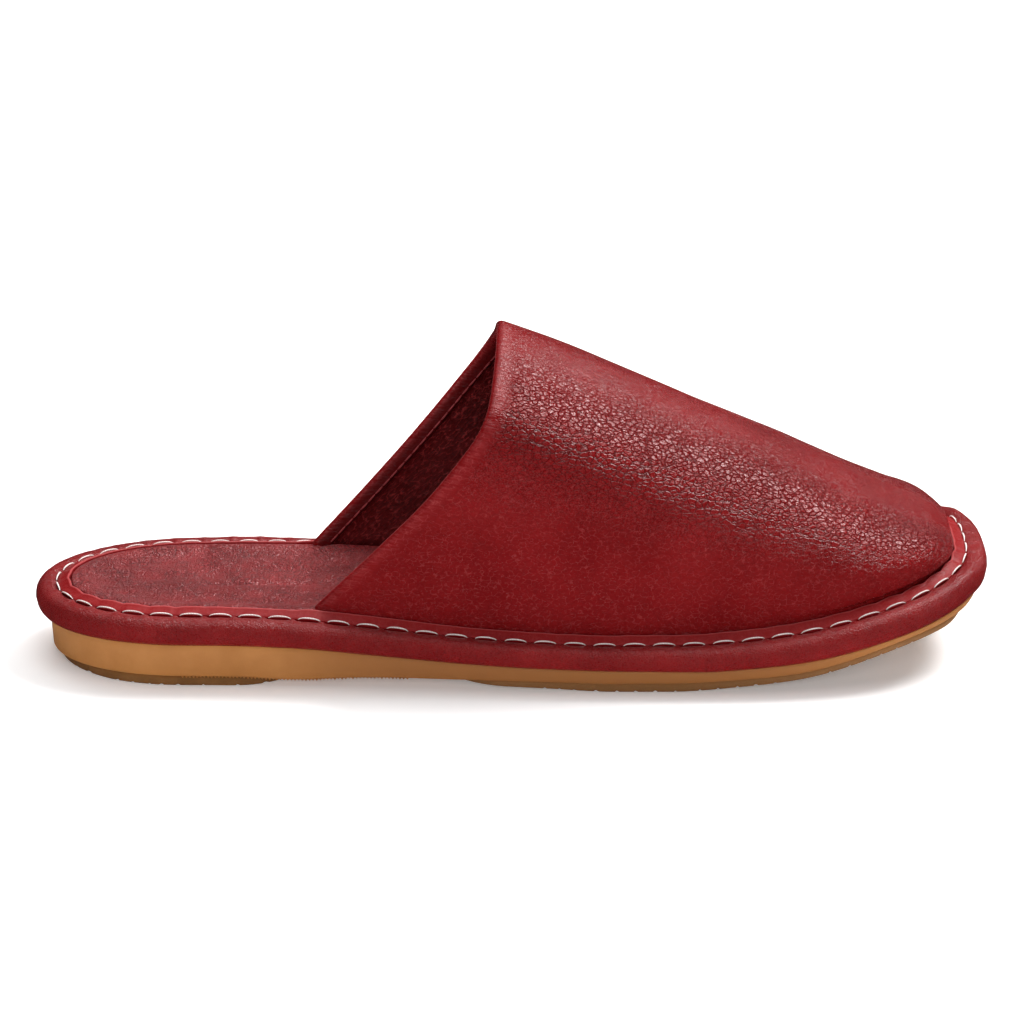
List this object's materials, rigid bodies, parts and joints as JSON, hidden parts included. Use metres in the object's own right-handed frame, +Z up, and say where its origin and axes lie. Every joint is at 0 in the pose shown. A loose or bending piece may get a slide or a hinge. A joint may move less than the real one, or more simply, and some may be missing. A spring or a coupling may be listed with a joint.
{
  "type": "closed-toe house slipper",
  "caption": "Backless closed-toe house slipper: high-cut vamp, padded rolled rim sewn to a dished insole, low wedge sole with toe spring.",
  "frame": {"origin": "on the floor, at the middle of the slipper's length and width", "axes": "+X from heel to toe, +Y towards the inner side of the foot, +Z up"},
  "size_m": [0.28, 0.0979, 0.0992],
  "materials": {
    "sole": "satin moulded gum rubber",
    "rand": "smooth padded leather, satin",
    "binding": "folded leather strip, satin",
    "insole": "fine-grained lining leather, satin",
    "upper": "pebbled leather, satin"
  },
  "bodies": {
    "root": {"outsole": "sole", "rand": "rand", "binding": "binding", "insole": "insole", "upper": "upper"}
  },
  "joints": []
}
